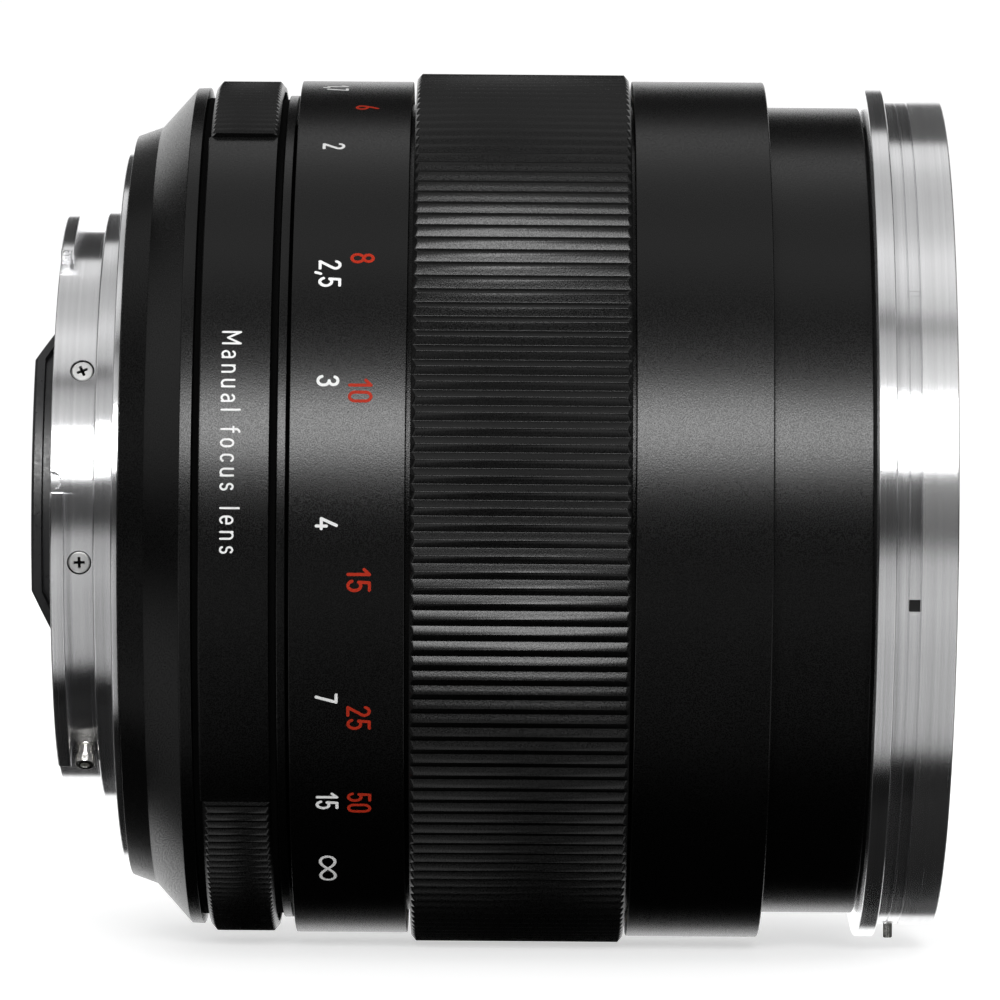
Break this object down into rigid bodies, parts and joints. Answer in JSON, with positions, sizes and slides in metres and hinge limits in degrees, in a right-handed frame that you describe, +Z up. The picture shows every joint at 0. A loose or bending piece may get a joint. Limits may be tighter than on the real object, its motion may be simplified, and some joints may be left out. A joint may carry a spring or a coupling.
{
  "type": "prime camera lens",
  "caption": "Manual-focus prime camera lens with a ribbed focusing ring, an extending optical barrel, a rear bayonet mount with contacts and a front hood bayonet.",
  "frame": {"origin": "on the optical axis, in the plane of the bayonet flange's rear face", "axes": "+X along the optical axis to the front of the lens; -X leaves the bayonet towards the camera; +Z up as the lens is shown, lying on its side; -Y towards the contact side"},
  "size_m": [0.0798, 0.078, 0.078],
  "materials": {
    "black_metal": "fine satin black anodised aluminium",
    "matte_black": "matte black anodised aluminium",
    "bright_metal": "turned satin chrome on brass",
    "brass": "machined brass",
    "gold": "gold plated contact",
    "steel": "bright steel",
    "glass": "coated optical glass",
    "board": "solder-masked circuit board",
    "red": "gloss red bead",
    "plastic": "black moulded plastic"
  },
  "bodies": {
    "fixed_barrel": {"bayonet_mount": "bright_metal", "contact_block": "plastic", "contact_pin_1": "gold", "contact_pin_2": "gold", "contact_pin_3": "gold", "contact_pin_4": "gold", "contact_pin_5": "gold", "contact_pin_6": "gold", "contact_pin_7": "gold", "mount_screw_1": "steel", "mount_screw_2": "steel", "mount_screw_3": "steel", "mount_screw_4": "steel", "block_screw_1": "steel", "block_screw_2": "steel", "stop_pin": "steel", "mount_index_bead": "red", "rear_baffle": "matte_black", "rear_barrel": "black_metal", "circuit_board": "board", "rear_grip_ring": "black_metal", "index_collar": "black_metal", "fixed_sleeve": "black_metal"},
    "focus_ring": {"distance_scale_ring": "black_metal", "focus_grip_ring": "matte_black", "front_sleeve": "black_metal", "focus_helicoid": "brass"},
    "optical_barrel": {"inner_barrel": "black_metal", "hood_bayonet_ring": "bright_metal", "hood_pin": "steel", "front_retaining_ring": "matte_black", "front_cell": "matte_black", "rear_cell": "matte_black", "rear_spacer": "matte_black", "rear_retaining_ring": "matte_black", "iris_housing": "matte_black", "iris_cover_plate": "matte_black", "iris_motor": "steel", "lens_element_1": "glass", "lens_element_2": "glass", "lens_element_3": "glass", "lens_element_4": "glass", "lens_element_5": "glass", "lens_element_6": "glass", "guide_key_1": "steel", "guide_key_2": "steel", "guide_key_3": "steel"},
    "iris_drive": {"iris_drive_ring": "steel"},
    "iris_arm": {"iris_motor_arm": "steel"},
    "blade_1": {"iris_blade_1": "matte_black"},
    "blade_2": {"iris_blade_2": "matte_black"},
    "blade_3": {"iris_blade_3": "matte_black"},
    "blade_4": {"iris_blade_4": "matte_black"},
    "blade_5": {"iris_blade_5": "matte_black"},
    "blade_6": {"iris_blade_6": "matte_black"},
    "blade_7": {"iris_blade_7": "matte_black"},
    "blade_8": {"iris_blade_8": "matte_black"},
    "blade_9": {"iris_blade_9": "matte_black"}
  },
  "joints": [
    {"name": "focus_turn", "type": "hinge", "parent": "fixed_barrel", "child": "focus_ring", "pos_m": [0.035, 0, 0], "axis": [1, 0, 0], "range_deg": [-244, 0]},
    {"name": "barrel_slide", "type": "slide", "parent": "fixed_barrel", "child": "optical_barrel", "axis": [1, 0, 0], "range_m": [-0.0088, 0]},
    {"name": "iris_drive_turn", "type": "hinge", "parent": "optical_barrel", "child": "iris_drive", "pos_m": [0.0338, 0, 0], "axis": [1, 0, 0], "range_deg": [0, 3.94]},
    {"name": "iris_arm_turn", "type": "hinge", "parent": "optical_barrel", "child": "iris_arm", "pos_m": [0.0348, -0.02709, -0.00576], "axis": [1, 0, 0], "range_deg": [0, 42.37]},
    {"name": "blade_1_turn", "type": "hinge", "parent": "optical_barrel", "child": "blade_1", "pos_m": [0.0292, -0.02694, 0.00379], "axis": [1, 0, 0], "range_deg": [0, 38]},
    {"name": "blade_2_turn", "type": "hinge", "parent": "optical_barrel", "child": "blade_2", "pos_m": [0.02965, -0.02307, -0.01441], "axis": [1, 0, 0], "range_deg": [0, 38]},
    {"name": "blade_3_turn", "type": "hinge", "parent": "optical_barrel", "child": "blade_3", "pos_m": [0.0301, -0.00841, -0.02587], "axis": [1, 0, 0], "range_deg": [0, 38]},
    {"name": "blade_4_turn", "type": "hinge", "parent": "optical_barrel", "child": "blade_4", "pos_m": [0.03055, 0.01019, -0.02522], "axis": [1, 0, 0], "range_deg": [0, 38]},
    {"name": "blade_5_turn", "type": "hinge", "parent": "optical_barrel", "child": "blade_5", "pos_m": [0.031, 0.02402, -0.01277], "axis": [1, 0, 0], "range_deg": [0, 38]},
    {"name": "blade_6_turn", "type": "hinge", "parent": "optical_barrel", "child": "blade_6", "pos_m": [0.03145, 0.02661, 0.00566], "axis": [1, 0, 0], "range_deg": [0, 38]},
    {"name": "blade_7_turn", "type": "hinge", "parent": "optical_barrel", "child": "blade_7", "pos_m": [0.0319, 0.01675, 0.02143], "axis": [1, 0, 0], "range_deg": [0, 38]},
    {"name": "blade_8_turn", "type": "hinge", "parent": "optical_barrel", "child": "blade_8", "pos_m": [0.03235, -0.00095, 0.02718], "axis": [1, 0, 0], "range_deg": [0, 38]},
    {"name": "blade_9_turn", "type": "hinge", "parent": "optical_barrel", "child": "blade_9", "pos_m": [0.0328, -0.0182, 0.02021], "axis": [1, 0, 0], "range_deg": [0, 38]}
  ],
  "couplings": [
    {"joint": "barrel_slide", "follows": "focus_turn", "m_per_rad": 0.0020647},
    {"joint": "iris_arm_turn", "follows": "iris_drive_turn", "ratio": 10.731},
    {"joint": "blade_1_turn", "follows": "iris_drive_turn", "ratio": 9.6247},
    {"joint": "blade_2_turn", "follows": "iris_drive_turn", "ratio": 9.6247},
    {"joint": "blade_3_turn", "follows": "iris_drive_turn", "ratio": 9.6247},
    {"joint": "blade_4_turn", "follows": "iris_drive_turn", "ratio": 9.6247},
    {"joint": "blade_5_turn", "follows": "iris_drive_turn", "ratio": 9.6247},
    {"joint": "blade_6_turn", "follows": "iris_drive_turn", "ratio": 9.6247},
    {"joint": "blade_7_turn", "follows": "iris_drive_turn", "ratio": 9.6247},
    {"joint": "blade_8_turn", "follows": "iris_drive_turn", "ratio": 9.6247},
    {"joint": "blade_9_turn", "follows": "iris_drive_turn", "ratio": 9.6247}
  ]
}
